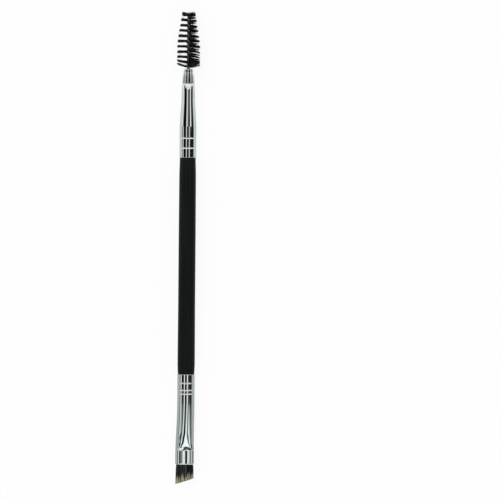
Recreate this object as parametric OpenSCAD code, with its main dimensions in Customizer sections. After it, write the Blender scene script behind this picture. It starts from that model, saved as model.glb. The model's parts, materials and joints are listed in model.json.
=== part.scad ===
// Eyebrow brush with two ends: an angled tuft in a pressed metal ferrule and a twisted-wire
// spoolie in a crimped one, on a turned wooden handle. It lies as it comes to rest on a table,
// along Y with the spoolie towards +Y, on the tuft ferrule and the lowest bristle tips.

/* [Handle] */
// Visible length of the handle between the two ferrules
handle_len = 78; // [60:0.5:100]
// Diameter of the straight grip in the middle of the handle
grip_d = 6.12; // [5.9:0.02:6.3]
// Length of the straight grip
grip_len = 24; // [12:1:34]
// Largest diameter, just before the tuft ferrule
swell_d = 6.24; // [6.1:0.02:6.6]
// Distance from the tuft ferrule to the largest diameter
swell_back = 4.3; // [2:0.1:8]
// Diameter where the handle begins to narrow towards the spoolie ferrule
waist_d = 6.03; // [5.8:0.01:6.2]
// Distance from the spoolie ferrule to that diameter
waist_back = 6.7; // [4:0.1:10]
// How far the handle's ends stand inside the outside of the ferrules
shoulder_step = 0.15; // [0.05:0.01:0.18]
// Length of the tenon inside each ferrule
tenon_len = 10; // [9:0.1:11]
// Radial clearance between a tenon and its ferrule
tenon_fit = 0.03; // [0.02:0.01:0.06]

/* [Ferrules] */
// Thickness of the ferrules' metal
wall = 0.27; // [0.24:0.01:0.34]
// Depth of the rolled grooves that hold the tenons
groove_depth = 0.13; // [0.06:0.01:0.18]
// Width of a rolled groove
groove_w = 0.9; // [0.6:0.05:1.1]

/* [Tuft ferrule] */
// Length of the tuft ferrule
tuft_ferrule_len = 32.5; // [30:0.5:38]
// Outside diameter where it is round
tuft_ferrule_d = 6.2; // [6:0.05:6.5]
// Length that stays round
round_len = 12; // [11.5:0.1:14]
// Distance from the handle to the crease
crease_at = 26.8; // [25:0.1:27.5]
// Width at the crease
crease_w = 6.64; // [6.5:0.02:7]
// Thickness just before the crease
crease_t = 4; // [3.7:0.05:4.4]
// How far the middle of the crease bows towards the handle
crease_bow = 1.1; // [0.4:0.1:1.6]
// Length over which the crease steps down to the pressed flat
crease_len = 0.7; // [0.5:0.1:1.2]
// Width of the mouth
mouth_w = 6.7; // [6.4:0.02:6.8]
// Thickness of the mouth
mouth_t = 3.4; // [3:0.05:3.7]

/* [Tuft] */
// Length of the hair outside the ferrule on its long side
tuft_long = 6.9; // [5.5:0.1:9]
// Angle of the cut across the tuft, in degrees
cut_angle = 18; // [8:1:24]
// How much wider the tuft is at its tips than at the mouth
tuft_flare = 1.07; // [1:0.01:1.12]
// Depth of the furrows between the locks
lock_depth = 0.1; // [0.04:0.01:0.14]
// How far the tips between two locks stand back from the cut
lock_notch = 0.26; // [0.1:0.02:0.4]
// Clearance of the hair and the resin inside the metal
hair_fit = 0.03; // [0.02:0.01:0.05]

/* [Spoolie ferrule] */
// Length of the spoolie ferrule
spoolie_ferrule_len = 32; // [30:0.5:36]
// Outside diameter where it sits on the handle
spoolie_ferrule_d = 6.03; // [5.9:0.01:6.2]
// Length of the stretch on the handle before it is drawn down
sleeve_len = 11.5; // [11.2:0.1:13]
// Length over which it is drawn down to the neck
draw_len = 9.1; // [7:0.1:9.5]
// Diameter of the neck
neck_d = 4.77; // [4.6:0.01:5]
// Length of the crimped nose
nose_len = 5.6; // [4.6:0.1:6]
// Diameter at the root of the nose
nose_root_d = 4.58; // [4.4:0.01:4.6]
// Diameter of the nose where it starts to round over
nose_d = 3.8; // [3.6:0.02:4]
// Diameter of the nose at its tip
nose_tip_d = 2.86; // [2.8:0.02:3.2]
// Number of pleats round the nose
pleats = 12; // [8:1:14]
// Depth of the pleats
pleat_depth = 0.42; // [0.2:0.02:0.44]

/* [Spoolie] */
// Length of bare wire between the nose and the first bristles
bare_wire = 0.35; // [0.2:0.05:1]
// Diameter of the wire
wire_d = 0.6; // [0.5:0.02:0.62]
// Length of one full turn of the twisted wire
wire_pitch = 3.78; // [3:0.02:4.6]
// Length of wire held inside the ferrule
wire_inside = 11; // [10:0.1:12]
// Length of the brush of bristles, tip to tip
bristle_len = 20.2; // [16:0.1:26]
// Diameter of the bristles over their straight stretch
bristle_d = 8.4; // [7.4:0.05:9.4]
// Length of the straight stretch from the base
bristle_straight = 8.8; // [5:0.1:12]
// Diameter of the bristles at the tip
bristle_tip_d = 4.9; // [4:0.05:6]
// Distance between neighbouring bristle teeth along the wire
tooth_pitch = 0.126; // [0.12:0.002:0.16]
// Thickness of a bristle tooth along the wire
tooth_h = 0.08; // [0.06:0.002:0.1]
// Thickness of the layer of filaments between the two strands
layer_t = 0.08; // [0.06:0.01:0.12]
// Width of a bristle tooth at its tip
tooth_tip_w = 0.26; // [0.12:0.01:0.3]
// How far the first bristles sweep up, away from the ferrule
base_sweep = 0.9; // [0.4:0.05:1.4]
// How far the last bristles sweep up past the end of the wire
tip_sweep = 0.5; // [0.3:0.05:1]
// Unevenness of the trimmed bristle tips
trim_scatter = 0.16; // [0:0.02:0.3]
// Depth of the flat spot that the bristles take where they lie on the table
rest_flat = 0.12; // [0.06:0.02:0.2]

/* [Resin] */
// Length of the resin plug in the neck of the spoolie ferrule
neck_resin_len = 3; // [2:0.1:3.4]
// Clearance of that plug round the twisted wire
resin_fit = 0.02; // [0.01:0.01:0.05]

/* [Hidden] */
$fn = 96;

// Rolled grooves, as distances from the handle
tuft_grooves = [3.2, 5.65, 6.95];
spoolie_grooves = [3.4, 7];
groove_steps = 4;
end_chamfer = 0.4;

// Both ferrules round
tuft_r = tuft_ferrule_d / 2;
sleeve_r = spoolie_ferrule_d / 2;
neck_r = neck_d / 2;
rim_round = 0.08;
// Ledge where the pressed or pleated stretch of a ferrule meets its turned stretch
seam = 0.01;

// Loft of the pressed part: points round it, steps in the transition, and those that the resin fills
press_pts = 40;
press_steps = 10;
resin_from = 3;
resin_to = 6;
// Powers by which the tube first widens and then thins along the transition, and where it begins to bow
widen_power = 1.5;
thin_power = 1.4;
bow_from = 0.6;
// Shares of the crease's length, its change of width and its change of thickness, at each of its rings
crease_rings = [[0.6, 0.4, 0.75], [1, 0.7, 1]];
// Where the flat stretch has its middle ring, and the power that fills out its oval
flat_ring = 0.45;
oval_power = 0.92;

// Hair: points round it, and how far up the free length each ring lies and how thick it is there
hair_pts = 72;
hair_rings = [[0.12, 0.99], [0.35, 0.94], [0.6, 0.85], [0.84, 0.7], [1, 0.46]];
lock_spread = 137;
lock_scatter = 0.16;

// Where the neck begins to narrow, as a share of the way from the drawn stretch to the nose
neck_share = 0.62;

// Nose: shares of its length at its rings, where the pleats have their full depth, and where it rounds over
nose_rings = [0, 0.05, 0.13, 0.4, 0.66, 0.84, 0.92, 0.97, 1];
nose_full = 0.13;
nose_over = 0.84;
pleat_turn = 8;
pts_per_pleat = 4;

// Wire: distance of each strand's middle from the axis, and the radius round both strands
strand_gap = 0.02;
strand_r = wire_d / 2 + layer_t / 2 + strand_gap;
stem_r = strand_r + wire_d / 2;
wire_pts = 6;
wire_rings_per_turn = 12;
bend_steps = 6;
untwist_len = wire_pitch / 2;
// How far the cut ends of the wire lie below the last bristles' roots
wire_short = 0.3;

// Bristles: where the first row stands out sideways, how far the sweep at each end reaches and its power
first_row = 2.05;
sweep_reach = 0.25;
sweep_power = 1.5;
root_len = bristle_len - tip_sweep;
tooth_n = floor((root_len - tooth_h) / tooth_pitch) + 1;
// Half width of the layer of filaments, which reaches a little past the strands
layer_over = 0.04;
tooth_root_r = stem_r + layer_over;

// Stations along the axis, from the shoulder of the handle under the tuft ferrule
bristle_z = handle_len + spoolie_ferrule_len + bare_wire;
tip_z = bristle_z + bristle_len;
tuft_z = -tuft_ferrule_len - tuft_long;
mid_z = (tip_z + tuft_z) / 2;

// The table's line under the axis: it meets the bristles and whichever support lies lowest
touch_z = bristle_z + base_sweep;
touch_r = bristle_d / 2 - rest_flat;
supports = [[-round_len, tuft_r], [swell_back, swell_d / 2], [(handle_len - grip_len) / 2, grip_d / 2]];
slope = min([for (s = supports) (touch_r - s[1]) / (touch_z - s[0])]);
lean = atan(slope);
function table(z) = touch_r - slope * (touch_z - z);

function mix(a, b, t) = a + (b - a) * t;
function ease(t) = t * t * (3 - 2 * t);
function unit(v) = v / norm(v);
function reversed(list) = [for (i = [len(list) - 1:-1:0]) list[i]];
function joined(lists) = [for (l = lists) each l];

// Two triangles of a four-sided face, clockwise from outside
function quad(q, at) = [[at + q[0], at + q[1], at + q[2]], [at + q[0], at + q[2], at + q[3]]];

// Sides between rings of n points that run along the axis, the last ring joined to the first if closed
function ring_sides(rings, n, closed) = [
    for (j = [0:rings - (closed ? 1 : 2)], i = [0:n - 1])
        let (k = (i + 1) % n, up = ((j + 1) % rings) * n)
        each [[j * n + i, up + k, j * n + k], [j * n + i, up + i, up + k]]];

// Strips across a ring between points that mirror each other
function ring_cap(n, at) = [
    for (i = [0:n / 2 - 1]) each [
        if (i < n / 2 - 1) [at + i, at + i + 1, at + n - i - 1],
        if (i > 0) [at + i, at + n - i - 1, at + n - i]]];
function flipped(faces) = [for (f = faces) reversed(f)];

// A closed solid through rings that run along the axis
module loft(rings) {
    n = len(rings[0]);
    polyhedron(joined(rings), concat(ring_cap(n, 0), ring_sides(len(rings), n, false),
        flipped(ring_cap(n, (len(rings) - 1) * n))));
}

// A tube open at both ends: rings along its outside and back along its inside
module tube_loft(outside, inside) {
    n = len(outside[0]);
    rings = concat(outside, reversed(inside));
    polyhedron(joined(rings), ring_sides(len(rings), n, true));
}

// Places what is built along the axis on the table
module lay()
    translate([0, -mid_z * cos(lean), table(0) * cos(lean)]) rotate([lean - 90, 0, 0]) children();

// The tuft's end is built upwards from the handle's lower shoulder and turned over
module tuft_end() lay() mirror([0, 0, 1]) children();
module spoolie_end() lay() translate([0, 0, handle_len]) children();

// One rolled groove, as radius and place along the tube
function groove(r, at) = [
    for (k = [-groove_steps:groove_steps])
        [r - groove_depth * (1 + cos(180 * k / groove_steps)) / 2, at + k * groove_w / groove_steps / 2]];
function grooved(r, grooves, to) = [
    [r, 0], for (g = grooves) if (g + groove_w / 2 < to) each groove(r, g), [r, to]];

// Wall of the first ring of a loft, whose n flat sides keep the seam's ledge outside the round bore
function seam_wall(r, n) = wall - seam - (r - wall) * (1 / cos(180 / n) - 1);

// Half section of a tenon that fills a grooved tube
function tenon(r, grooves) = let (fit = wall + tenon_fit)
    [each grooved(r - fit, grooves, tenon_len - end_chamfer),
     [r - fit - end_chamfer, tenon_len], [0, tenon_len]];

// Outline of the handle between its shoulders, as radius and height
function handle_side() = let (
        tuft_end_r = tuft_r - shoulder_step,
        spoolie_end_r = sleeve_r - shoulder_step,
        grip_z = (handle_len - grip_len) / 2,
        steps = 6)
    [for (i = [0:steps]) [mix(tuft_end_r, swell_d / 2, sin(90 * i / steps)), swell_back * i / steps],
     [grip_d / 2, grip_z], [grip_d / 2, handle_len - grip_z],
     for (i = [0:steps]) [mix(waist_d / 2, spoolie_end_r, ease(i / steps)),
         handle_len - waist_back * (1 - i / steps)]];

module handle() color("#1d1e1d") lay() rotate_extrude() polygon(concat(
    [for (p = reversed(tenon(tuft_r, tuft_grooves))) [p[0], -p[1]]],
    handle_side(),
    [for (p = tenon(sleeve_r, spoolie_grooves)) [p[0], handle_len + p[1]]]));

// A point at angle a of an oval, which a power under 1 fills out to crowned flats with rounded sides
function filled(x, power) = sign(x) * pow(abs(x), power);
function oval(a, w, t, power) = [w * filled(cos(a), power), t * filled(sin(a), power)];

// Stations of the pressed part: distance, half width, half thickness, how far it is pressed, bow
press_rings = [
    for (i = [0:press_steps]) let (u = i / press_steps)
        [mix(round_len, crease_at, u), mix(tuft_r, crease_w / 2, pow(u, widen_power)),
         mix(tuft_r, crease_t / 2, pow(u, thin_power)), u,
         crease_bow * pow(max(0, (u - bow_from) / (1 - bow_from)), 2)],
    for (c = crease_rings)
        [crease_at + crease_len * c[0], mix(crease_w, mouth_w, c[1]) / 2, mix(crease_t, mouth_t, c[2]) / 2,
         1, crease_bow],
    [mix(crease_at + crease_len, tuft_ferrule_len, flat_ring), mouth_w / 2, mouth_t / 2, 1, crease_bow / 2],
    [tuft_ferrule_len - rim_round, mouth_w / 2, mouth_t / 2, 1, 0]];
mouth_ring = [tuft_ferrule_len, mouth_w / 2, mouth_t / 2, 1, 0];

// Points round one station, a given distance inside its outline
function press_ring(s, inset, n) = [
    for (i = [0:n - 1]) let (
        p = oval(360 * i / n, s[1] - inset, s[2] - inset, mix(1, oval_power, s[3])))
    [p[0], p[1], s[0] - s[4] * (1 - pow(p[0] / s[1], 2))]];

module tuft_ferrule() color("#c9cdc9") tuft_end() {
    rotate_extrude() polygon(concat(
        grooved(tuft_r, tuft_grooves, round_len),
        reversed(grooved(tuft_r - wall, tuft_grooves, round_len))));
    tube_loft(
        [for (i = [0:len(press_rings) - 1]) press_ring(press_rings[i], i == 0 ? seam : 0, press_pts),
         press_ring(mouth_ring, rim_round, press_pts)],
        [for (i = [0:len(press_rings) - 1])
             press_ring(press_rings[i], i == 0 ? seam_wall(tuft_r, press_pts) : wall, press_pts),
         press_ring(mouth_ring, wall, press_pts)]);
}

module tuft_glue() color("#c9a862") tuft_end()
    loft([for (i = [resin_from:resin_to]) press_ring(press_rings[i], wall + hair_fit, press_pts)]);

// Free length of the hair at a distance x from the middle of the tuft, long on the side of -X
tuft_w = mouth_w - 2 * (wall + hair_fit);
function hair_len(x) = tuft_long - (x + tuft_w * tuft_flare / 2) * tan(cut_angle);
// Uneven measure from 0 to 1 for each column of hair
function lock(c) = 0.5 + 0.5 * sin(lock_spread * c);

// One ring of free hair, at a share v of its length: every second column is a furrow between locks
function hair_ring(v, thick) = let (root = press_ring(mouth_ring, wall + hair_fit, hair_pts)) [
    for (i = [0:hair_pts - 1]) let (
        c = min(i, hair_pts - i), furrow = c % 2,
        x = root[i][0] * mix(1, tuft_flare, v),
        y = root[i][1] * thick * (1 - furrow * lock_depth * min(1, 4 * v)),
        tip = hair_len(x) - lock_scatter * lock(c) - lock_notch * furrow)
    [x, y, tuft_ferrule_len + v * tip]];

module tuft_hair() color("#8a8470") tuft_end() loft([
    for (i = [resin_to:len(press_rings) - 1]) press_ring(press_rings[i], wall + hair_fit, hair_pts),
    press_ring(mouth_ring, wall + hair_fit, hair_pts),
    for (h = hair_rings) hair_ring(h[0], h[1])]);

// Half section of the drawn tube, from the handle to the root of the nose
nose_z = spoolie_ferrule_len - nose_len;
neck_z = sleeve_len + draw_len;
neck_end = mix(neck_z, nose_z, neck_share);
function drawn(inset) = let (steps = 8) [
    each grooved(sleeve_r - inset, spoolie_grooves, sleeve_len),
    for (i = [1:steps]) [mix(sleeve_r, neck_r, ease(i / steps)) - inset, sleeve_len + draw_len * i / steps],
    [neck_r - inset, neck_end], [nose_root_d / 2 - inset, nose_z]];

// Radius of the nose at a share u of its length, before the pleats
function nose_r(u) = u < nose_over ? mix(nose_root_d, nose_d, u / nose_over) / 2
    : nose_tip_d / 2 + (nose_d - nose_tip_d) / 2 * sqrt(1 - pow((u - nose_over) / (1 - nose_over), 2));
nose_pts = pleats * pts_per_pleat;
function nose_ring(u, inset) = let (fold = min(1, u / nose_full)) [
    for (i = [0:nose_pts - 1]) let (
        a = 360 * i / nose_pts,
        r = nose_r(u) - inset - fold * pleat_depth * (1 - abs(sin(pleats * a / 2))))
    [r * cos(a + pleat_turn), r * sin(a + pleat_turn), nose_z + u * nose_len]];

module spoolie_ferrule() color("#c9cdc9") spoolie_end() {
    rotate_extrude() polygon(concat(drawn(0), reversed(drawn(wall))));
    tube_loft(
        [for (u = nose_rings) nose_ring(u, u == 0 ? seam : 0)],
        [for (u = nose_rings) nose_ring(u, u == 0 ? seam_wall(nose_root_d / 2, nose_pts) : wall)]);
}

module spoolie_glue() color("#c9a862") spoolie_end() translate([0, 0, neck_end - neck_resin_len])
    rotate_extrude() translate([stem_r + resin_fit, 0])
        square([neck_r - wall - hair_fit - stem_r - resin_fit, neck_resin_len]);

// Angle of the layer of filaments at a height over the first bristles: the wire is wound left-handed
function twist(s) = -360 * (s - first_row) / wire_pitch;

// Angle of the strands, which run straight where they meet in the bend inside the ferrule
wire_foot = -bare_wire - wire_inside;
function strand_turn(s) = let (x = max(0, wire_foot + untwist_len - s))
    twist(s + x) + 360 * (x - x * x / untwist_len / 2) / wire_pitch;
function strand(s, side) = let (a = strand_turn(s) + 90 * side)
    [[strand_r * cos(a), strand_r * sin(a), s], [cos(a), sin(a), 0]];

// Middle line of the doubled wire: down one strand, round the bend and up the other
wire_top = root_len - wire_short;
wire_steps = ceil((wire_top - wire_foot) / wire_pitch * wire_rings_per_turn);
function bend(t) = let (a = strand_turn(wire_foot) + 90, out = [cos(a), sin(a), 0])
    [strand_r * (cos(t) * out - [0, 0, sin(t)]) + [0, 0, wire_foot], cos(t) * out - [0, 0, sin(t)]];
wire_line = [
    for (i = [0:wire_steps]) strand(mix(wire_top, wire_foot, i / wire_steps), 1),
    for (i = [1:bend_steps - 1]) bend(180 * i / bend_steps),
    for (i = [0:wire_steps]) strand(mix(wire_foot, wire_top, i / wire_steps), -1)];

function wire_ring(i) = let (
        last = len(wire_line) - 1,
        along = unit(wire_line[min(i + 1, last)][0] - wire_line[max(i - 1, 0)][0]),
        side = unit(cross(along, wire_line[i][1])),
        out = cross(side, along))
    [for (j = [0:wire_pts - 1]) wire_line[i][0]
        + wire_d / 2 * (cos(360 * j / wire_pts) * out + sin(360 * j / wire_pts) * side)];

module spoolie_wire() color("#9c9d9b") lay() translate([0, 0, bristle_z])
    loft([for (i = [0:len(wire_line) - 1]) wire_ring(i)]);

// Radius of the trimmed bristles at a height over the first ones
function bristle_r(s) = s < bristle_straight ? bristle_d / 2
    : mix(bristle_d, bristle_tip_d, (s - bristle_straight) / (bristle_len - bristle_straight)) / 2;
// How far a bristle's tip lies above its root
function sweep(s) = let (reach = sweep_reach * root_len)
    base_sweep * pow(max(0, 1 - s / reach), sweep_power)
    + tip_sweep * pow(max(0, 1 - (root_len - s) / reach), sweep_power);
// Length of a tooth that points at angle a, shortened where the table stops it
function tooth_r(a, s, n) = let (
        free = bristle_r(s) - trim_scatter * lock(n),
        down = sin(a))
    down <= 0 ? free
        : min(free, (table(bristle_z + s) - tooth_tip_w / 2 * abs(cos(a)) - tooth_h / 2 * slope) / down);

function turned(a, u, v, s) = [u * cos(a) - v * sin(a), u * sin(a) + v * cos(a), s];

// One pair of opposite teeth and the layer of filaments between the strands that they grow from
function tooth_points(k) = let (
        s = tooth_h / 2 + k * tooth_pitch,
        a = twist(s), half = tooth_h / 2,
        tip = s + sweep(s), w = tooth_tip_w / 2,
        right = tooth_r(a, tip, 2 * k), left = tooth_r(a + 180, tip, 2 * k + 1),
        root = [for (q = [[1, 1], [-1, 1], [-1, -1], [1, -1]]) [q[0] * tooth_root_r, q[1] * layer_t / 2]])
    [for (e = [-half, half], q = root) turned(twist(s + e), q[0], q[1], s + e),
     for (e = [-half, half], v = [w, -w]) turned(a, right, v, tip + e),
     for (e = [-half, half], v = [w, -w]) turned(a, -left, v, tip + e)];

// Faces of a pair of teeth, and of the layer up to the next pair
tooth_quads = [[4, 5, 1, 0], [6, 7, 3, 2],
    [10, 4, 0, 8], [7, 11, 9, 3], [3, 9, 8, 0], [10, 11, 7, 4], [11, 10, 8, 9],
    [5, 14, 12, 1], [15, 6, 2, 13], [1, 12, 13, 2], [15, 14, 5, 6], [14, 15, 13, 12]];
layer_quads = [[16, 17, 5, 4], [18, 19, 7, 6], [19, 16, 4, 7], [17, 18, 6, 5]];
points_per_tooth = 16;

module spoolie_bristles() color("#161716") lay() translate([0, 0, bristle_z]) polyhedron(
    [for (k = [0:tooth_n - 1]) each tooth_points(k)],
    [each quad([0, 1, 2, 3], 0),
     for (k = [0:tooth_n - 1], q = tooth_quads) each quad(q, k * points_per_tooth),
     for (k = [0:tooth_n - 2], q = layer_quads) each quad(q, k * points_per_tooth),
     each quad([7, 6, 5, 4], (tooth_n - 1) * points_per_tooth)]);

handle();
tuft_ferrule();
tuft_hair();
tuft_glue();
spoolie_ferrule();
spoolie_wire();
spoolie_bristles();
spoolie_glue();
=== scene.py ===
"""Looks of a two-ended eyebrow brush: lacquered handle, bright ferrules, angled tuft, twisted spoolie."""
import json
import math
import random

import bmesh
import bpy
from mathutils import Matrix, Vector


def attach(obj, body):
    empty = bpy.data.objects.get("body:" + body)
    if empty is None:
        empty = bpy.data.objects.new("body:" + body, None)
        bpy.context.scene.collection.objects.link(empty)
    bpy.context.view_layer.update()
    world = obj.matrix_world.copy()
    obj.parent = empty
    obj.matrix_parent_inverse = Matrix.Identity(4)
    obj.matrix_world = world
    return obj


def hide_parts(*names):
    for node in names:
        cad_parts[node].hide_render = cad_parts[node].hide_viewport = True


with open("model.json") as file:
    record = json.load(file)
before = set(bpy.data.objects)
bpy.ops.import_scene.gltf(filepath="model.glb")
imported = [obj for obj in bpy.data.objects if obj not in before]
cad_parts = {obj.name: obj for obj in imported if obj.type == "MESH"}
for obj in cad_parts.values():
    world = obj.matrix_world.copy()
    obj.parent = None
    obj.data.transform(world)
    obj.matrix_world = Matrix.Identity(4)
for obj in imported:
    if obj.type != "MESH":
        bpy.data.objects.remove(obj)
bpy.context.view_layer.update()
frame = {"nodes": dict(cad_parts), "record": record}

# The brush's own frame is in millimetres: its axis along +Y towards the spoolie, its top side +Z,
# and the middle of the grip at 0. The grip's mount says where that lies and how the brush leans.
MM = 0.001
grip = frame["record"]["mounts"][0]
AXIS = -Vector(grip["axis"]).normalized()
LAY = (Matrix.Translation(Vector(grip["pos_m"])) @ Matrix.Rotation(math.asin(AXIS.z), 4, "X")
       @ Matrix.Scale(MM, 4))


def span(node):
    """Where a CAD node begins and ends along the axis, in the brush's own frame."""
    to_brush = LAY.inverted()
    places = [(to_brush @ v.co).y for v in frame["nodes"][node].data.vertices]
    return min(places), max(places)


TUFT_MOUTH, TUFT_JOINT = span("tuft_ferrule")
SPOOLIE_JOINT, NOSE_TIP = span("spoolie_ferrule")
WIRE_FOOT, WIRE_TOP = span("spoolie_wire")
BRISTLE_FOOT, BRISTLE_TOP = span("spoolie_bristles")

# Handle: the straight grip and half its length, and the swell by the tuft and the waist by the spoolie,
# with how far they lie from their joints. The wood steps in at both joints, and stubs of its tenons
# close the ends.
GRIP_R, GRIP_HALF = 3.06, 12.0
SWELL_R, SWELL_BACK = 3.12, 4.3
WAIST_R, WAIST_BACK = 3.015, 6.7
SHOULDER_STEP = 0.15
TENON_STUB, TENON_GAP = 2.0, 0.4

# Both ferrules: wall, rounding of the rims, rolled grooves, and the spacing of rings inside the tube
WALL = 0.27
RIM = 0.11
GROOVE_DEPTH, GROOVE_W = 0.09, 0.52
GROOVED_LEN, GROOVE_RING, INNER_RING = 9, 0.065, 0.22
# Places of the grooves from the handle, and their depth beside the deepest one's
TUFT_GROOVES = ((3.2, 0.5), (5.65, 1), (6.95, 0.9))
SPOOLIE_GROOVES = ((3.4, 0.8), (7.0, 1))

# Pressed part of the tuft ferrule, as distances from the handle and half sizes
TUFT_R = 3.1
ROUND_LEN, CREASE_AT, CREASE_LEN = 10.5, 26.95, 0.6
CREASE_REACH, CREASE_RING = 1.2, 0.07
CREASE_HALF_W, CREASE_HALF_T = 3.32, 2.28
# How the faces fall over the crease's length: steeply, then more and more gently
CREASE_FALL = ((0, 0), (0.06, 0.03), (0.23, 0.33), (0.68, 0.8), (0.94, 0.99), (1, 1))
# The crease bows towards the handle: all of it, and more so at a thumb-shaped place of its own width
CREASE_BOW, THUMB_BOW, THUMB_AT, THUMB_W = 0.45, 0.65, 0.2, 0.42
MOUTH_HALF_W, MOUTH_HALF_T = 3.35, 1.7
# How widening and flattening set in between the round part and the crease, as powers of the way there
WIDEN_POWER, FLATTEN_POWER = 1.8, 1.6
# The pressed part sits off the axis towards -X, and its rings begin to bow some way before the crease
PRESS_SHIFT, BOW_FROM = 0.3, 0.35
# Lip of the mouth, as its length and how far it turns in
LIP_LEN, LIP_IN = 0.3, 0.05
# Where the section begins to leave the oval, and where it has the throat's form
OVAL_LEN, THROAT_AT = 20.6, 24.6
# Even turns from the left edge of a pressed face to its right edge
TURNS = 72
# Tilt of the pressed faces in degrees, rising to the right, at places from the left edge, -1, to the right, 1
THROAT_TILT = ((-1, 82), (-0.92, 58), (-0.8, 48), (-0.68, 38), (-0.63, 25), (-0.52, 18), (-0.35, 10),
               (-0.18, 2), (0, -4), (0.22, -8.3), (0.35, -10), (0.45, -15), (0.59, -23), (0.68, -30),
               (0.75, -40), (0.82, -47), (0.92, -58), (1, -82))
CREASE_TILT = ((-1, 84), (-0.94, 62), (-0.87, 46), (-0.78, 40), (-0.7, 33), (-0.62, 27), (-0.57, 22),
               (-0.55, 13), (-0.5, 8), (-0.45, 4), (-0.36, 0), (-0.3, -4.5), (-0.1, -6), (0.3, -7.5),
               (0.5, -9), (0.56, -20), (0.66, -28), (0.78, -38), (0.88, -48), (0.94, -70), (1, -84))
MOUTH_TILT = ((-1, 66), (-0.95, 46), (-0.9, 34), (-0.85, 35.5), (-0.81, 40), (-0.72, 40), (-0.7, 34),
              (-0.62, 33), (-0.6, 24), (-0.5, 17), (-0.42, 14), (-0.25, 12.7), (-0.17, 11.5), (-0.03, 9.2),
              (0.05, 6.6), (0.18, 3), (0.28, -2.5), (0.3, -9), (0.5, -11), (0.58, -15), (0.66, -15.5),
              (0.71, -12), (0.78, -12), (0.83, -24), (0.88, -28), (0.93, -64), (1, -84))

# Spoolie ferrule: a sleeve on the handle, drawn down to a neck, straight for a share of it, and a nose
SLEEVE_R, SLEEVE_LEN, DRAW_LEN = 3.015, 11.5, 9.1
NECK_R, NECK_END_R, NECK_SHARE = 2.42, 2.4, 0.5
NOSE_LEN, NOSE_ROOT_R, NOSE_R, NOSE_TIP_R = 5.6, 2.3, 1.9, 1.43
NOSE_LEAD, NOSE_RING = 0.4, 0.07
# How deep the nose is squeezed from above and below, and how that grows along the neck and fades to the tip
SQUEEZE, SQUEEZE_POWER, SQUEEZE_FADE = 0.25, 1.6, 0.8
# As shares of the nose: where its tip begins to round over, and where its pleats have their full depth
NOSE_OVER, NOSE_FULL = 0.84, 0.13
# Pleats on the top and the underside are deep, and those on its flanks have a share of that depth
PLEATS, PLEAT_DEPTH, PLEAT_TURN, FLANK_PLEAT = 12, 0.42, 12.5, 0.25
FLANK, FLANK_FADE = 0.3, 0.35
# How far the pleats run out into the neck, as a share of the nose, the depth from which a pleat's valley is
# painted dark as shade, and that depth near the tip, from a share of the nose on, where more is painted dark
PLEAT_RUN, PLEAT_SHADE_FROM, PLEAT_SHADE_FROM_TIP, TIP_SHADE_AT = 0.1, 0.3, -0.25, 0.77
# From here the nose's rim has no painted shade, and the crimping has hazed the metal from here before the
# nose
BRIGHT_RIM_AT, HAZED_BEFORE, RIM_FADE = 0.9, 0.45, 0.04

# Tuft: its hairs are cut at a slant from the long tip at -X. They start inside the mouth and nearly
# fill it, and the tuft thins towards its end.
HAIR_COUNT = 1900
HAIR_R, HAIR_TIP_R = 0.045, 0.028
TUFT_LONG, CUT_ANGLE, TUFT_FLARE = 7.3, 18.0, 1.08
HAIR_INSIDE, MOUTH_FILL, TIP_THINNING = 1.5, 0.96, 0.5
# Locks that the hair falls into: how many per half width, how they lean and how far they draw together
LOCKS, LOCK_LEAN, LOCK_PULL = 4.5, 0.5, 0.2
# How much shorter a hair is at a lock's border, by chance and on the faces of the tuft
BORDER_SHORT, CHANCE_SHORT, FACE_SHORT = 0.12, 0.05, 0.15
# Dye: it ends at this share of a hair, later in a lock's dark tongue, and sooner or later by clumps
DYE_FROM, DYE_FADE, DARK_TONGUE, DYE_CHANCE = 0.54, 0.22, 0.5, 0.02
CLUMPS, CLUMP_SLANT, CLUMP_SPREAD, CLUMP_CHANCE = 15, 0.4, 0.12, 0.4

# Spoolie: the wire's two strands, whose middles lie off the axis, and the height over the base at which
# the filaments point at +X
WIRE_R, STRAND_R, WIRE_PITCH = 0.3, 0.36, 3.78
WIRE_SIDES, WIRE_STEPS = 12, 40
FIRST_ROW = 2.05
FILAMENT_COUNT, FILAMENT_R, FILAMENT_TIP_R = 1700, 0.044, 0.032
# Strays that fill the base and the top, the lengths that they fill, and how far they fan out in radians
BASE_STRAYS, BASE_LEN, TOP_STRAYS, TOP_LEN, STRAY_FAN = 130, 2.0, 60, 0.9, 0.8
# The brush is even for a while from its base, then tapers to its top
BRISTLE_R, BRISTLE_STRAIGHT, BRISTLE_TIP_R, TRIM_CHANCE = 4.2, 8.8, 2.45, 0.07
# Filaments at the base and at the top sweep upwards, within a share of the length
BASE_SWEEP, TIP_SWEEP, SWEEP_REACH, SWEEP_POWER = 1.35, 0.5, 0.25, 1.5
# The tips have been combed over: how far from -X, in degrees, each arm of a filament ends up pointing
COMBED = ((0, 0), (48, 24), (52, 84), (100, 116), (135, 150), (180, 180))
COMB_CHANCE, BEND_POWER, LIFT_POWER = 5, 0.6, 1.6
# Rows gather a little, sit unevenly and droop on the right, and some filaments go their own way
ROW_GATHER, ROW_CHANCE, RIGHT_DROOP = 0.12, 0.14, 0.35
LIFT_CHANCE, WILD_SHARE, WILD_TIMES = 0.09, 0.07, 4
# On the right the rows are split finer: how many times a pitch, and how far each part gathers
SPLITS, SPLIT_GATHER, SPLIT_CHANCE = 3.2, 0.6, 0.2
# Filaments point more and more at random towards the top
UNRULY, TOP_UNRULY, UNRULY_LEN = 0.05, 0.3, 1.6


def mix(a, b, t):
    return a + (b - a) * t


def clamp(t):
    return min(1.0, max(0.0, t))


def ease(t):
    t = clamp(t)
    return t * t * (3 - 2 * t)


def between(stops, place):
    """The value at a place, on straight lines between the stops."""
    for (a, low), (b, high) in zip(stops, stops[1:]):
        if place <= b:
            return mix(low, high, (place - a) / (b - a))
    return stops[-1][1]


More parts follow.
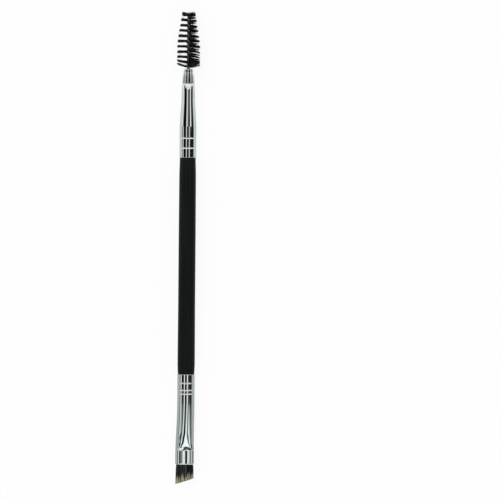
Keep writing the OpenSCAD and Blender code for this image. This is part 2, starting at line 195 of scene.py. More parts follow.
def steps(start, end, step):
    """Evenly spaced numbers from start up to, but not including, end."""
    count = max(1, round(abs(end - start) / step))
    return [mix(start, end, i / count) for i in range(count)]


class Field:
    """An output socket, which takes part in sums written as plain expressions."""

    def __init__(self, finish, socket):
        self.finish = finish
        self.socket = socket

    def math(self, operation, *values):
        return self.finish.node("ShaderNodeMath", {"operation": operation}, dict(enumerate(values)))

    def __add__(self, other):
        return self.math("ADD", self, other)

    def __sub__(self, other):
        return self.math("SUBTRACT", self, other)

    def __rsub__(self, other):
        return self.math("SUBTRACT", other, self)

    def __mul__(self, other):
        return self.math("MULTIPLY", self, other)

    __radd__ = __add__
    __rmul__ = __mul__

    def ramp(self, *stops):
        """The colour or grey that the stops, as place and value, give for this number."""
        return self.finish.node("ShaderNodeValToRGB", {"stops": stops}, {0: self})


class Finish:
    """The nodes of a material or of the world."""

    def __init__(self, owner):
        owner.use_nodes = True
        self.owner = owner
        self.tree = owner.node_tree
        self.tree.nodes.clear()

    def node(self, kind, settings=None, sockets=None, out=0):
        """A new node's output: the settings are set first, then the sockets' values or links."""
        made = self.tree.nodes.new(kind)
        for name, value in (settings or {}).items():
            if name == "stops":
                elements = made.color_ramp.elements
                while len(elements) < len(value):
                    elements.new(1.0)
                for element, (place, shade) in zip(elements, value):
                    element.position = place
                    element.color = (*shade, 1) if isinstance(shade, tuple) else (shade,) * 3 + (1,)
            else:
                setattr(made, name, value)
        for name, value in (sockets or {}).items():
            if isinstance(value, Field):
                self.tree.links.new(value.socket, made.inputs[name])
            else:
                made.inputs[name].default_value = value
        return Field(self, made.outputs[out]) if made.outputs else None

    def place(self, scale):
        """Object coordinates, scaled so that a pattern has its own measure across and along the brush."""
        at = self.node("ShaderNodeTexCoord", out="Object")
        return self.node("ShaderNodeMapping", {}, {"Vector": at, "Scale": scale})

    def noise(self, scale, detail=2.0, rough=0.5):
        """Noise from 0 to 1, whose scale gives features per metre along each axis."""
        return self.node("ShaderNodeTexNoise", {}, {
            "Vector": self.place(scale), "Scale": 1.0, "Detail": detail, "Roughness": rough})

    def blend(self, share, a, b):
        """A colour between a and b."""
        return self.node("ShaderNodeMix", {"data_type": "RGBA"}, {0: share, 6: a, 7: b}, out=2)

    def bump(self, height, strength, distance):
        return self.node("ShaderNodeBump", {}, {
            "Height": height, "Strength": strength, "Distance": distance})

    def surface(self, shader):
        self.node("ShaderNodeOutputMaterial", {}, {"Surface": shader})


def colour(r, g, b):
    return (r, g, b, 1.0)


def finish_of(name):
    return Finish(bpy.data.materials.new(name))


def black_lacquer():
    """Satin black lacquer. The wood's grain shows through a little, and more where it is worn by the tuft."""
    f = finish_of("black_lacquer")
    grain = f.noise((2600, 60, 2600), 3.0)
    pores = f.noise((5200, 240, 5200), 2.0)
    patches = f.noise((160, 40, 160), 1.0)
    along = f.node("ShaderNodeSeparateXYZ", {}, {0: f.place((1, 1, 1))}, out="Y")
    worn = (along * -10).ramp((0.51, 0.0), (0.55, 1.0)) * grain.ramp((0.5, 0.0), (0.62, 0.7))
    f.surface(f.node("ShaderNodeBsdfPrincipled", {}, {
        "Base Color": f.blend(grain * patches + worn, colour(0.002, 0.003, 0.002),
                              colour(0.016, 0.018, 0.017)),
        "Roughness": 0.3 + grain * 0.16,
        "Specular IOR Level": 0.13,
        "Normal": f.bump(grain + pores * 0.5, 0.35, 0.00002)}))
    return f.owner


def bright_metal():
    """Polished tube with faint marks of drawing along it, hazed where it is crimped, and painted black as
    shade in the valleys of its pleats.
    """
    f = finish_of("bright_metal")
    draw = f.noise((4200, 110, 4200), 3.0)
    haze = f.noise((420, 160, 420), 2.0)
    # Painted shade: the metal turns black in the valleys of the nose's pleats
    crimp = f.node("ShaderNodeAttribute", {"attribute_name": "crimp"}, out="Fac")
    worked = f.node("ShaderNodeAttribute", {"attribute_name": "worked"}, out="Fac")
    f.surface(f.node("ShaderNodeBsdfPrincipled", {}, {
        "Base Color": f.blend(crimp, f.blend(haze, colour(0.92, 0.94, 0.93), colour(0.97, 0.98, 0.97)),
                              colour(0.004, 0.004, 0.004)),
        "Metallic": 1.0,
        "Roughness": 0.03 + haze * 0.03 + worked * 0.16,
        "Normal": f.bump(draw, 0.2, 0.000008)}))
    return f.owner


def steel_wire():
    f = finish_of("steel_wire")
    draw = f.noise((6000, 900, 6000), 2.0)
    f.surface(f.node("ShaderNodeBsdfPrincipled", {}, {
        "Base Color": f.blend(draw, colour(0.3, 0.3, 0.29), colour(0.46, 0.46, 0.45)),
        "Metallic": 1.0,
        "Roughness": 0.22 + draw * 0.12}))
    return f.owner


def dyed_hair():
    """Tuft hair: black-brown at the root, with a painted highlight of grey on the roots of a few locks,
    turning cream where each hair's own dye ends.
    """
    f = finish_of("tuft_hair")
    dye = f.node("ShaderNodeAttribute", {"attribute_name": "dye"}, out="Fac")
    cast = f.node("ShaderNodeAttribute", {"attribute_name": "cast"}, out="Fac")
    cream = f.blend(cast, colour(0.26, 0.26, 0.16), colour(0.64, 0.64, 0.47))
    # Roots in random dark tones, and in the palest casts a grey that is a painted highlight
    root = cast.ramp((0.1, (0.002, 0.002, 0.002)), (0.7, (0.03, 0.026, 0.026)), (0.85, (0.13, 0.12, 0.12)))
    f.surface(f.node("ShaderNodeBsdfPrincipled", {}, {
        "Base Color": f.blend(dye, root, cream),
        "Roughness": 0.42 + cast * 0.15,
        "Specular IOR Level": 0.22}))
    return f.owner


def black_nylon():
    f = finish_of("black_nylon")
    cast = f.node("ShaderNodeAttribute", {"attribute_name": "cast"}, out="Fac")
    f.surface(f.node("ShaderNodeBsdfPrincipled", {}, {
        "Base Color": f.blend(cast, colour(0.004, 0.004, 0.005), colour(0.014, 0.013, 0.015)),
        "Roughness": 0.3 + cast * 0.2,
        "Specular IOR Level": 0.35}))
    return f.owner


def resin():
    """Cured resin of the hidden plugs, clouded a little."""
    f = finish_of("resin")
    cloud = f.noise((900, 900, 900), 3.0)
    f.surface(f.node("ShaderNodeBsdfPrincipled", {}, {
        "Base Color": f.blend(cloud, colour(0.42, 0.26, 0.07), colour(0.66, 0.50, 0.22)),
        "Roughness": 0.18 + cloud * 0.15}))
    return f.owner


def show(name, mesh, material, slot, *nodes):
    """Puts a finished mesh in the scene in place of its CAD nodes."""
    for face in mesh.polygons:
        face.use_smooth = True
    mesh.materials.append(material)
    piece = bpy.data.objects.new(name, mesh)
    bpy.context.scene.collection.objects.link(piece)
    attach(piece, "root")
    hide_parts(*nodes)
    return piece


def laid(name, bm):
    """The mesh of a shape made in the brush's own frame, laid in its place."""
    bmesh.ops.transform(bm, matrix=LAY, verts=bm.verts)
    bmesh.ops.recalc_face_normals(bm, faces=bm.faces)
    mesh = bpy.data.meshes.new(name)
    bm.to_mesh(mesh)
    bm.free()
    return mesh


def turn(outline, segments, closed):
    """Spins an outline of (radius, place) points round the axis. A closed outline makes a tube."""
    bm = bmesh.new()
    verts = [bm.verts.new((r, y, 0)) for r, y in outline]
    edges = [bm.edges.new(pair) for pair in zip(verts, verts[1:] + verts[:1] * closed)]
    bmesh.ops.spin(bm, geom=verts + edges, cent=(0, 0, 0), axis=(0, 1, 0), dvec=(0, 0, 0),
                   angle=math.tau, steps=segments, use_merge=True, use_normal_flip=False,
                   use_duplicate=False, space=Matrix.Identity(4))
    bmesh.ops.remove_doubles(bm, verts=bm.verts, dist=1e-4)
    return bm


def quarter(r, y, across, along, radius):
    """Points of a rounded corner at (r, y), turning from the way across to the way along."""
    return [(r + across * radius * (math.cos(a) - 1), y + along * radius * (1 - math.sin(a)))
            for a in (math.pi / 2 * k / 4 for k in range(4, -1, -1))]


def handle_outline():
    """Outline of the turned stick, from the stub of its tuft tenon to that of its spoolie tenon."""
    low, high = TUFT_JOINT, SPOOLIE_JOINT
    tuft_end_r, spoolie_end_r = TUFT_R - SHOULDER_STEP, SLEEVE_R - SHOULDER_STEP
    swell = [(mix(tuft_end_r, SWELL_R, math.sin(math.pi / 2 * t)), low + SWELL_BACK * t)
             for t in steps(0, 1, 1 / 8)]
    lower = [(mix(SWELL_R, GRIP_R, ease(t)), mix(low + SWELL_BACK, -GRIP_HALF, t))
             for t in steps(0, 1, 1 / 10)]
    upper = [(mix(GRIP_R, WAIST_R, t), mix(GRIP_HALF, high - WAIST_BACK, t)) for t in steps(0, 1, 1 / 6)]
    waist = [(mix(WAIST_R, spoolie_end_r, ease(t)), high - WAIST_BACK * (1 - t))
             for t in (*steps(0, 1, 1 / 8), 1)]
    tuft_tenon_r, spoolie_tenon_r = tuft_end_r - TENON_GAP, spoolie_end_r - TENON_GAP
    return [(0, low - TENON_STUB), (tuft_tenon_r, low - TENON_STUB), (tuft_tenon_r, low),
            *swell, *lower, *upper, *waist,
            (spoolie_tenon_r, high), (spoolie_tenon_r, high + TENON_STUB), (0, high + TENON_STUB)]


def handle():
    bm = turn(handle_outline(), 96, False)
    show("handle_lacquered", laid("handle_lacquered", bm), black_lacquer(), "black_lacquer", "handle")


def groove_at(d, grooves):
    """Depth of the rolled grooves at a distance from the handle."""
    return sum(share * GROOVE_DEPTH * (1 + math.cos(math.tau * (d - g) / GROOVE_W)) / 2
               for g, share in grooves if abs(d - g) < GROOVE_W / 2)


def crown(tilt, half_w):
    """Height of a pressed face, as a share of its crest, at even turns from its left edge to its right."""
    places = [-math.cos(math.pi * k / TURNS) for k in range(TURNS + 1)]
    heights = [0.0]
    for a, b in zip(places, places[1:]):
        heights.append(heights[-1] + half_w * (b - a) * math.tan(math.radians(between(tilt, (a + b) / 2))))
    top = max(heights)
    crest = heights.index(top)
    low = heights[-1]
    return [h / top for h in heights[:crest]] + [(h - low) / (top - low) for h in heights[crest:]]


def press_sizes(d):
    """Half width, half thickness, shift and bow of the tuft ferrule at a distance from the handle."""
    u = clamp((d - ROUND_LEN) / (CREASE_AT - ROUND_LEN))
    over = clamp((d - CREASE_AT) / CREASE_LEN)
    fall = between(CREASE_FALL, over)
    w = mix(mix(TUFT_R, CREASE_HALF_W, u ** WIDEN_POWER), MOUTH_HALF_W, fall)
    t = mix(mix(TUFT_R, CREASE_HALF_T, u ** FLATTEN_POWER), MOUTH_HALF_T, fall)
    bow = clamp((u - BOW_FROM) / (1 - BOW_FROM)) ** 2 * (1 - over)
    return w, t, PRESS_SHIFT * ease(u), bow


# The pressed faces' heights at every turn
THROAT = crown(THROAT_TILT, press_sizes(THROAT_AT)[0] / press_sizes(THROAT_AT)[1])
CREASE = crown(CREASE_TILT, CREASE_HALF_W / CREASE_HALF_T)
MOUTH = crown(MOUTH_TILT, MOUTH_HALF_W / MOUTH_HALF_T)


def turn_at(place):
    """Which of the even turns has a place across the pressed part."""
    return round((1 - math.acos(max(-1.0, min(1.0, place))) / math.pi) * TURNS)


def press(x, z, d):
    """Where a point of the round tube comes to lie once the tube is pressed. Its two faces are alike,
    the lower one turned half round."""
    r, a = math.hypot(x, z), math.atan2(z, x)
    inset = TUFT_R - r
    w, t, shift, bow = press_sizes(d)
    side = 1 if a >= 0 else -1
    place = side * math.cos(a)
    k = turn_at(place)
    up = mix(side * math.sin(a), THROAT[k], ease((d - OVAL_LEN) / (THROAT_AT - OVAL_LEN)))
    up = mix(up, CREASE[k], ease((d - THROAT_AT) / (CREASE_AT - THROAT_AT)))
    up = mix(up, MOUTH[k], between(CREASE_FALL, clamp((d - CREASE_AT) / CREASE_LEN)))
    bow *= CREASE_BOW * (1 - place * place) + THUMB_BOW * math.exp(-((place - THUMB_AT) / THUMB_W) ** 2)
    return (w - inset) * side * place - shift, (t - inset) * side * up, d - bow


def tuft_ferrule():
    length = TUFT_JOINT - TUFT_MOUTH
    before, after = CREASE_AT - CREASE_REACH, CREASE_AT + CREASE_REACH
    ring_places = [*steps(RIM, ROUND_LEN, GROOVE_RING), *steps(ROUND_LEN, before, 0.25),
                   *steps(before, after, CREASE_RING), *steps(after, length - RIM, 0.2)]
    outside = [(TUFT_R - groove_at(d, TUFT_GROOVES) - LIP_IN * clamp((d - length) / LIP_LEN + 1), d)
               for d in ring_places]
    inside = [(TUFT_R - WALL - groove_at(d, TUFT_GROOVES), d)
              for d in (*steps(0, GROOVED_LEN, INNER_RING), *steps(GROOVED_LEN, length, 0.4), length)]
    lip = [(r, length - d) for r, d in reversed(quarter(TUFT_R - LIP_IN, 0, 1, 1, RIM))]
    outline = [*quarter(TUFT_R, 0, 1, 1, RIM), *outside[1:], *lip, *reversed(inside)]
    bm = turn(outline, 2 * TURNS, True)
    for v in bm.verts:
        x, z, d = press(v.co.x, v.co.z, v.co.y)
        v.co = Vector((x, TUFT_JOINT - d, z))
    show("tuft_ferrule_shell", laid("tuft_ferrule_shell", bm), metal, "bright_metal", "tuft_ferrule")


def nose_radius(u):
    """Outside radius of the nose at a share of its length: tapered, then rounded over at its tip."""
    if u < NOSE_OVER:
        return mix(NOSE_ROOT_R, NOSE_R, (u / NOSE_OVER) ** 2.2)
    over = (u - NOSE_OVER) / (1 - NOSE_OVER)
    return NOSE_TIP_R + (NOSE_R - NOSE_TIP_R) * math.sqrt(max(0.0, 1 - over * over))


def sleeve_radius(d, nose_at):
    """Outside radius of the spoolie ferrule before its pleats, at a distance from the handle."""
    neck_at = SLEEVE_LEN + DRAW_LEN
    neck_end = mix(neck_at, nose_at, NECK_SHARE)
    if d <= neck_at:
        t = clamp((d - SLEEVE_LEN) / DRAW_LEN)
        return mix(SLEEVE_R, NECK_R, mix(t, ease(t), 0.2)) - groove_at(d, SPOOLIE_GROOVES)
    if d <= neck_end:
        return mix(NECK_R, NECK_END_R, (d - neck_at) / (neck_end - neck_at))
    if d <= nose_at:
        return mix(NECK_END_R, NOSE_ROOT_R, ((d - neck_end) / (nose_at - neck_end)) ** 2)
    return nose_radius(min(1.0, (d - nose_at) / NOSE_LEN))


def spoolie_ferrule():
    length = NOSE_TIP - SPOOLIE_JOINT
    nose_at = length - NOSE_LEN
    lead_at = nose_at - NOSE_LEAD
    outer_places = [*steps(RIM, GROOVED_LEN, GROOVE_RING), *steps(GROOVED_LEN, lead_at, 0.4),
                    *steps(lead_at, length, NOSE_RING), length]
    inner_places = [*steps(0, GROOVED_LEN, INNER_RING), *steps(GROOVED_LEN, lead_at, 0.6),
                    *steps(lead_at, length, 0.1), length]
    outside = [(sleeve_radius(d, nose_at), d) for d in outer_places]
    inside = [(sleeve_radius(d, nose_at) - WALL, d) for d in inner_places]
    outline = [*quarter(SLEEVE_R, 0, 1, 1, RIM), *outside[1:], *reversed(inside)]
    bm = turn(outline, 192, True)
    # Painted shade, from the valleys of the pleats, and haze where the metal is worked
    crimp = bm.verts.layers.float.new("crimp")
    worked = bm.verts.layers.float.new("worked")
    neck_end = mix(SLEEVE_LEN + DRAW_LEN, nose_at, NECK_SHARE)
    for v in bm.verts:
        u = (v.co.y - nose_at) / NOSE_LEN
        r = math.hypot(v.co.x, v.co.z)
        upright = (v.co.z / r) ** 2
        facing = ease((upright - FLANK) / FLANK_FADE)
        a = math.atan2(v.co.z, v.co.x) + math.radians(PLEAT_TURN)
        valley = ease((u + PLEAT_RUN) / (NOSE_FULL + PLEAT_RUN)) * (1 - abs(math.sin(PLEATS / 2 * a)))
        squeezed = clamp((v.co.y - neck_end) / (nose_at - neck_end)) ** SQUEEZE_POWER
        squeezed *= 1 - SQUEEZE_FADE * clamp(u)
        depth = PLEAT_DEPTH * valley * mix(FLANK_PLEAT, 1, facing) + SQUEEZE * squeezed * upright ** 2
        v.co.x *= (r - depth) / r
        v.co.z *= (r - depth) / r
        # Painted shade in the valleys: over more of each pleat near the tip, and none on the rim
        shade_from = mix(PLEAT_SHADE_FROM, PLEAT_SHADE_FROM_TIP, ease((u - TIP_SHADE_AT) / RIM_FADE))
        rim = ease((u - BRIGHT_RIM_AT) / RIM_FADE)
        v[crimp] = ease(2 * (valley - shade_from) / (1 - shade_from)) * (1 - rim) * facing
        v[worked] = ease((u + HAZED_BEFORE) / HAZED_BEFORE) * (1 - rim)
        v.co.y += SPOOLIE_JOINT
    show("spoolie_ferrule_shell", laid("spoolie_ferrule_shell", bm), metal, "bright_metal", "spoolie_ferrule")


def threads(name, paths, sizes, **marks):
    """Thin round threads in one mesh: each path is a list of points, sizes are the radii along it, and
    each mark is an attribute with one number, or one for each point, for every thread."""
    curve = bpy.data.curves.new(name, "CURVE")
    curve.dimensions = "3D"
    curve.bevel_depth = 1.0
    curve.bevel_resolution = 0
    for path in paths:
        spline = curve.splines.new("POLY")
        spline.points.add(len(path) - 1)
        for point, at, r in zip(spline.points, path, sizes):
            point.co = (*at, 1)
            point.radius = r
    holder = bpy.data.objects.new(name, curve)
    bpy.context.scene.collection.objects.link(holder)
    mesh = bpy.data.meshes.new_from_object(holder.evaluated_get(bpy.context.evaluated_depsgraph_get()))
    bpy.data.objects.remove(holder)
    sides = len(mesh.vertices) // (len(paths) * len(sizes))
    for label, values in marks.items():
        each = sides * len(sizes) // len(values[0])
        mesh.attributes.new(label, "FLOAT", "POINT").data.foreach_set(
            "value", [v for thread in values for v in thread for _ in range(each)])
    bm = bmesh.new()
    bm.from_mesh(mesh)
    bpy.data.meshes.remove(mesh)
    bmesh.ops.remove_doubles(bm, verts=bm.verts, dist=1e-4)
    return laid(name, bm)


def twist(s):
    """Angle, up from +X, of the filaments at a height over the first ones."""
    return math.tau * (s - FIRST_ROW) / WIRE_PITCH


def spoolie_wire():
    """Both strands of the doubled wire, as a circle spun along the axis."""
    bm = bmesh.new()
    turns = (WIRE_TOP - WIRE_FOOT) / WIRE_PITCH
    tilt = math.atan2(math.tau * STRAND_R, WIRE_PITCH)
    start = twist(WIRE_FOOT - BRISTLE_FOOT)
    for side in (1, -1):
        made = bmesh.ops.create_circle(bm, cap_ends=True, radius=WIRE_R, segments=WIRE_SIDES)
        bmesh.ops.transform(bm, verts=made["verts"], matrix=(
            Matrix.Translation((0, WIRE_FOOT, 0)) @ Matrix.Rotation(-start + side * math.pi / 2, 4, "Y")
            @ Matrix.Translation((STRAND_R, 0, 0)) @ Matrix.Rotation(math.pi / 2 + tilt, 4, "X")))
        faces = [f for f in bm.faces if all(v in made["verts"] for v in f.verts)]
        bmesh.ops.spin(bm, geom=faces, cent=(0, 0, 0), axis=(0, 1, 0),
                       dvec=(0, WIRE_PITCH / WIRE_STEPS, 0), angle=-math.tau * turns,
                       steps=round(turns * WIRE_STEPS),
                       use_merge=False, use_normal_flip=False, use_duplicate=False, space=Matrix.Identity(4))
    show("spoolie_strands", laid("spoolie_strands", bm), steel_wire(), "steel_wire", "spoolie_wire")


def bristle_radius(s, length):
    """Radius that the filaments are trimmed to at a height over the base."""
    return BRISTLE_R if s < BRISTLE_STRAIGHT else mix(
        BRISTLE_R, BRISTLE_TIP_R, (s - BRISTLE_STRAIGHT) / (length - BRISTLE_STRAIGHT))


def on_table(at):
    """The point, lifted onto the table where a filament would reach below it."""
    low = FILAMENT_R - (LAY @ Vector(at)).z / MM
    return (at[0], at[1], at[2] + max(0.0, low))


def spoolie_filaments():
    """Nylon filaments held between the strands, so that their tips stand in a double helix. Each has two
    arms, and each arm is bent and lifted by itself."""
    draw = random.Random(7)
    length = BRISTLE_TOP - BRISTLE_FOOT
    root_len = length - TIP_SWEEP
    reach = SWEEP_REACH * root_len
    shares = [-1, -0.99, -0.82, -0.6, -0.35, 0, 0.35, 0.6, 0.82, 0.99, 1]
    paths, casts = [], []
    uneven = [draw.gauss(0, ROW_CHANCE) for _ in range(int(2 * length / WIRE_PITCH) + 3)]
    split = [draw.gauss(0, SPLIT_CHANCE) for _ in range(int(SPLITS * length / WIRE_PITCH) + 3)]
    places = [root_len * (i + draw.random()) / FILAMENT_COUNT for i in range(FILAMENT_COUNT)]
    places += [draw.uniform(0, BASE_LEN) for _ in range(BASE_STRAYS)]
    places += [root_len - draw.uniform(0, TOP_LEN) for _ in range(TOP_STRAYS)]
    for i, s in enumerate(places):
        stray = i >= FILAMENT_COUNT
        unruly = UNRULY + TOP_UNRULY * clamp((s - root_len) / UNRULY_LEN + 1)
        if stray:
            a = math.pi / 2 + draw.uniform(-STRAY_FAN, STRAY_FAN)
        else:
            a = twist(s) + draw.gauss(0, unruly)
        sweep = (BASE_SWEEP * clamp(1 - s / reach) ** SWEEP_POWER
                 + TIP_SWEEP * clamp(1 - (root_len - s) / reach) ** SWEEP_POWER)
        arms = {}
        for side in (-1, 1):
            points_at = a if side == 1 else a + math.pi
            away = math.degrees(points_at) % 360 - 180
            ends_at = 180 + math.copysign(between(COMBED, abs(away)), away)
            combed = math.radians(ends_at + draw.gauss(0, COMB_CHANCE))
            row = 0 if stray else (away + 90) % 180 - 90
            right = clamp(math.cos(combed))
            wild = WILD_TIMES if draw.random() < WILD_SHARE else 1
            lift = draw.gauss(0, LIFT_CHANCE + unruly / 2) * wild - RIGHT_DROOP * right
            lift += uneven[int(2 * s / WIRE_PITCH + side / 4 + 1)] - row / 360 * WIRE_PITCH * ROW_GATHER
            part = SPLITS * s / WIRE_PITCH + side / 4 + 1
            lift += (split[int(part)] - (part % 1 - 0.5) / SPLITS * WIRE_PITCH * SPLIT_GATHER) * right
            r = bristle_radius(s + sweep, length) - abs(draw.gauss(0, TRIM_CHANCE))
            bend = (combed - points_at + math.pi) % math.tau - math.pi
            arms[side] = (r, sweep + lift, points_at, bend)
        path = []
        for share in shares:
            t = abs(share)
            r, lift, points_at, bend = arms[-1 if share < 0 else 1]
            turned = points_at + bend * t ** BEND_POWER
            y = BRISTLE_FOOT + clamp((s + lift * t ** LIFT_POWER) / length) * length
            path.append(on_table((r * t * math.cos(turned), y, r * t * math.sin(turned))))
        paths.append(path)
        casts.append([draw.random()])
    sizes = [mix(FILAMENT_R, FILAMENT_TIP_R, share ** 2) if abs(share) < 1 else 0 for share in shares]
    mesh = threads("spoolie_filaments", paths, sizes, cast=casts)
    show("spoolie_filaments", mesh, black_nylon(), "black_nylon", "spoolie_bristles")


def tuft_hairs():
    """The hair of the tuft: each one rooted in the pressed mouth, leaning to the tip of its lock."""
    draw = random.Random(11)
    w, t = MOUTH_HALF_W - WALL - HAIR_R, MOUTH_HALF_T - WALL - HAIR_R
    shares = [0, 0.2, 0.35, 0.48, 0.6, 0.72, 0.84, 0.95, 1]
    paths, dyes, casts = [], [], []
    clumps = [draw.random() for _ in range(2 * CLUMPS + 2)]
    while len(paths) < HAIR_COUNT:
        x, z = draw.uniform(-1, 1), draw.uniform(-1, 1)
        if abs(z) > 1 - x * x:
            continue
        face = MOUTH[turn_at(x if z > 0 else -x)]
        z *= face / (1 - x * x) * MOUTH_FILL
        lock = math.floor(x * LOCKS + LOCK_LEAN * z)
        middle = (lock + 0.5 - LOCK_LEAN * z) / LOCKS
        off_middle = min(1.0, 2 * abs(x - middle) * LOCKS)
        free = TUFT_LONG - (x * w * TUFT_FLARE + w * TUFT_FLARE) * math.tan(math.radians(CUT_ANGLE))
        free -= BORDER_SHORT * off_middle ** 2 + abs(draw.gauss(0, CHANCE_SHORT)) + FACE_SHORT * abs(z) ** 3
        tongue = DARK_TONGUE * (0.5 + 0.5 * math.sin(lock * 2.4 + 1))
        clump = clumps[int((x + 1) * CLUMPS + CLUMP_SLANT * z)]
        dye_end = DYE_FROM + tongue * (1 - off_middle) + CLUMP_SPREAD * (clump - 0.5) * 2
        dye_end += draw.gauss(0, DYE_CHANCE)
        root = TUFT_MOUTH + HAIR_INSIDE
        path = [(x * w - PRESS_SHIFT, y, z * t) for y in (root + 0.05, root)]
        dye = [0.0, 0.0]
        for v in shares:
            px = mix(x, middle, LOCK_PULL * v * v) * w * mix(1, TUFT_FLARE, v ** 0.3) - PRESS_SHIFT
            pz = z * t * mix(1, TIP_THINNING, v ** 1.5)
            path.append((px, TUFT_MOUTH - v * free, pz))
            dye.append(ease((v - dye_end) / DYE_FADE))
        paths.append(path)
        dyes.append(dye)
        # Each hair's cast, mostly its clump's: a random tone, and at its palest a painted highlight at the
        # root
        casts.append([mix(clump, draw.random(), CLUMP_CHANCE)])
    sizes = [0, HAIR_R, *[mix(HAIR_R, HAIR_TIP_R, v ** 2) if v < 1 else 0 for v in shares]]
    mesh = threads("tuft_hairs", paths, sizes, dye=dyes, cast=casts)
    show("tuft_hairs", mesh, dyed_hair(), "tuft_hair", "tuft_hair")


# What bright metal mirrors near the horizon, and the painted shade that only mirrored rays see in the table:
# beyond the tuft's end, by the tuft, by the spoolie ferrule and by its nose
MIRRORED_GREY = (0.22, 0.26, 0.235)
TABLE_BEYOND, TABLE_BY_TUFT = (0.85, 0.93, 0.92), (0.25, 0.29, 0.265)
TABLE_BY_SPOOLIE, TABLE_BY_NOSE = (0.5, 0.56, 0.53), (0.85, 0.9, 0.88)
# How much of the brush's shadow the table keeps
SHADOW_KEPT = 0.1

# Light of the gaps between the boards over the brush, and those boards and gaps as bright metal mirrors
# them: angles in degrees from straight up, -X to +X, and brightness, over level metal and where its top
# faces the tuft's end or the spoolie's end
LIGHT_ON_LEVEL, LIGHT_BY_TUFT = colour(0.95, 1.0, 0.98), colour(0.9, 0.99, 1.0)
LIGHT_BY_SPOOLIE = colour(0.95, 1.0, 0.965)
OVER_LEVEL = ((-90, MIRRORED_GREY), (-86, 0.1), (-76, 0.1), (-72, 0.95), (-63, 0.95), (-60, 0.003),
              (-27, 0.003), (-24, 0.85), (-15, 0.85), (-12, 0.002), (5, 0.002), (12, 0.13), (16, 0.4),
              (19, 0.9), (26, 0.9), (29, 0.02), (70, 0.003), (78, 0.05), (85, 0.12), (90, MIRRORED_GREY))
OVER_TUFT = ((-86, MIRRORED_GREY), (-72, 0.26), (-62, 0.5), (-57, 0.8), (-47, 0.8), (-43, 0.09), (-34, 0.09),
             (-29, 0.75), (-17, 0.75), (-13, 0.015), (4, 0.015), (8, 1.0), (18, 1.0), (21, 0.1), (29, 0.1),
             (32, 0.5), (38, 0.6), (42, 0.9), (53, 0.9), (58, 0.19), (78, 0.18), (88, MIRRORED_GREY))
OVER_SPOOLIE = ((-88, 0.7), (-76, 0.6), (-67, 0.1), (-60, 0.001), (-25, 0.001), (-21, 0.7), (-9, 0.7),
                (-4, 0.25), (4, 0.15), (9, 0.04), (13, 0.01), (27, 0.01), (31, 0.75), (44, 0.75),
                (49, 0.05), (60, 0.02), (80, 0.01), (86, 0.3), (90, 0.6))


def floor():
    """A white table: it keeps part of the brush's shadow, shows white to the camera, and shows mirrored rays
    painted shade along the brush, darkest by the tuft.
    """
    bm = bmesh.new()
    bmesh.ops.create_grid(bm, x_segments=1, y_segments=1, size=3.0)
    mesh = bpy.data.meshes.new("table")
    bm.to_mesh(mesh)
    bm.free()
    table = bpy.data.objects.new("table", mesh)
    bpy.context.scene.collection.objects.link(table)
    f = finish_of("white_table")
    seen = f.node("ShaderNodeLightPath", out="Is Camera Ray")
    mirrored = f.node("ShaderNodeLightPath", out="Is Glossy Ray")
    through = f.node("ShaderNodeLightPath", out="Is Transmission Ray")
    plain = f.node("ShaderNodeBsdfDiffuse", {}, {"Color": colour(0.92, 0.92, 0.92)})
    # Painted shade on the table along the brush, for mirrored rays only
    along = f.node("ShaderNodeSeparateXYZ", {}, {0: f.place((1, 1, 1))}, out="Y")
    painted_table_shade = (along * 5 + 0.5).ramp((0.0, TABLE_BEYOND), (0.05, TABLE_BY_TUFT), (0.65, TABLE_BY_SPOOLIE),
                                  (0.78, TABLE_BY_SPOOLIE), (0.82, TABLE_BY_NOSE))
    white = f.node("ShaderNodeEmission", {}, {
        "Color": f.blend(mirrored, colour(1, 1, 1), painted_table_shade), "Strength": 1.0})
    share = (seen + mirrored + through) * (1 - SHADOW_KEPT)
    f.surface(f.node("ShaderNodeMixShader", {}, {0: share, 1: plain, 2: white}))
    mesh.materials.append(f.owner)


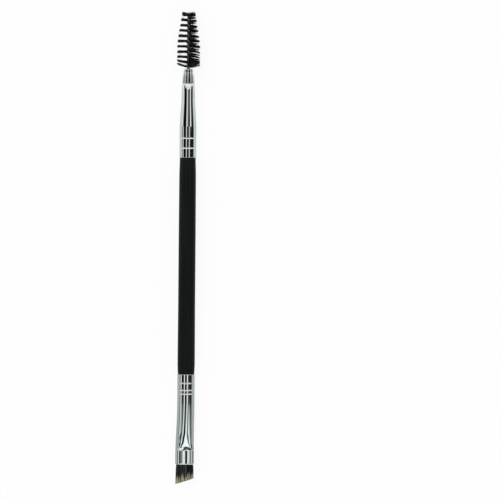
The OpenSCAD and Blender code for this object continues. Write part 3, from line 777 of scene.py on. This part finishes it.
def studio():
    """White surroundings, with dark boards along the brush that bright metal and lacquer mirror. Which
    boards show depends on how far the mirrored way leans towards the tuft's end, -Y, or the spoolie's."""
    world = bpy.data.worlds.new("studio")
    bpy.context.scene.world = world
    f = Finish(world)
    way = f.node("ShaderNodeTexCoord", out="Generated")
    x, y, z = (f.node("ShaderNodeSeparateXYZ", {}, {0: way}, out=axis) for axis in "XYZ")
    turned = x.math("ARCTAN2", x, z) * (1 / math.pi) + 0.5
    black = colour(0, 0, 0)

    def lit(boards, light):
        return f.blend(turned.ramp(*[(0.5 + angle / 180, value) for angle, value in boards]), black, light)

    level = lit(OVER_LEVEL, LIGHT_ON_LEVEL)
    tuft = lit(OVER_TUFT, LIGHT_BY_TUFT)
    spoolie = lit(OVER_SPOOLIE, LIGHT_BY_SPOOLIE)
    # Boards over metal that leans to the tuft's end, over level metal, which mirrors a darker middle, and
    # over metal that leans to the spoolie's end, up to the bright shoulder before the nose
    boards = f.blend((y * -1).ramp((0.064, 0.0), (0.075, 0.2), (0.16, 0.7), (0.2, 1.0)), level, tuft)
    boards = f.blend(y.ramp((0.0, 0.0), (0.015, 0.3)), boards, black)
    boards = f.blend(y.ramp((0.032, 0.0), (0.05, 1.0)), boards, spoolie)
    shoulder = (y - x.math("ABSOLUTE", x) * 0.05).ramp((0.2, 0.0), (0.24, 1.0))
    boards = f.blend(shoulder, boards, colour(0.72, 0.75, 0.73))
    # Beyond the ends of the boards: white gaps, a dark board each, and the horizon
    lean = y * 0.5 + 0.5
    beyond = lean.ramp((0.05, TABLE_BEYOND), (0.09, (0.07, 0.08, 0.075)), (0.22, (0.05, 0.06, 0.055)),
                       (0.25, (0.27, 0.3, 0.3)), (0.285, (0.9, 0.99, 1)), (0.5, (1, 1, 1)),
                       (0.92, (1, 1, 1)), (0.985, MIRRORED_GREY))
    mirrored = f.node("ShaderNodeLightPath", out="Is Glossy Ray")
    above = f.blend(lean.ramp((0.31, 1.0), (0.34, 0.0), (0.7, 0.0), (0.75, 1.0)), boards, beyond)
    light = f.blend(mirrored, colour(0.8, 0.8, 0.8), above)
    seen = f.node("ShaderNodeLightPath", out="Is Camera Ray")
    f.node("ShaderNodeOutputWorld", {}, {"Surface": f.node("ShaderNodeBackground", {}, {
        "Color": f.blend(seen, light, colour(1, 1, 1)), "Strength": 1.0})})
    sun = bpy.data.lights.new("key", "SUN")
    sun.energy = 0.8
    sun.angle = math.radians(25)
    key = bpy.data.objects.new("key", sun)
    key.rotation_euler = (math.radians(-28), math.radians(-24), 0)
    key.visible_glossy = False
    bpy.context.scene.collection.objects.link(key)


def camera():
    """Straight above the brush: the picture is 180 mm wide, and the brush lies left of its middle."""
    frame_w, sensor, lens = 0.18, 36.0, 200.0
    height, roll = 0.0042, math.radians(0.47)
    right, up = 0.02267, -0.0008
    body = bpy.data.cameras.new("camera")
    body.lens = lens
    body.sensor_width = sensor
    body.clip_start, body.clip_end = 0.05, 20
    cam = bpy.data.objects.new("camera", body)
    cam.rotation_euler = (0, 0, roll)
    cam.location = (right * math.cos(roll) - up * math.sin(roll),
                    right * math.sin(roll) + up * math.cos(roll), height + frame_w * lens / sensor)
    bpy.context.scene.collection.objects.link(cam)
    bpy.context.scene.camera = cam


camera()
floor()
studio()
metal = bright_metal()
handle()
tuft_ferrule()
spoolie_ferrule()
spoolie_wire()
spoolie_filaments()
tuft_hairs()
for plug in ("tuft_glue", "spoolie_glue"):
    shown = frame["nodes"][plug]
    shown.data.materials.clear()
    shown.data.materials.append(bpy.data.materials.get("resin") or resin())

view = bpy.context.scene.view_settings
view.view_transform = "Standard"
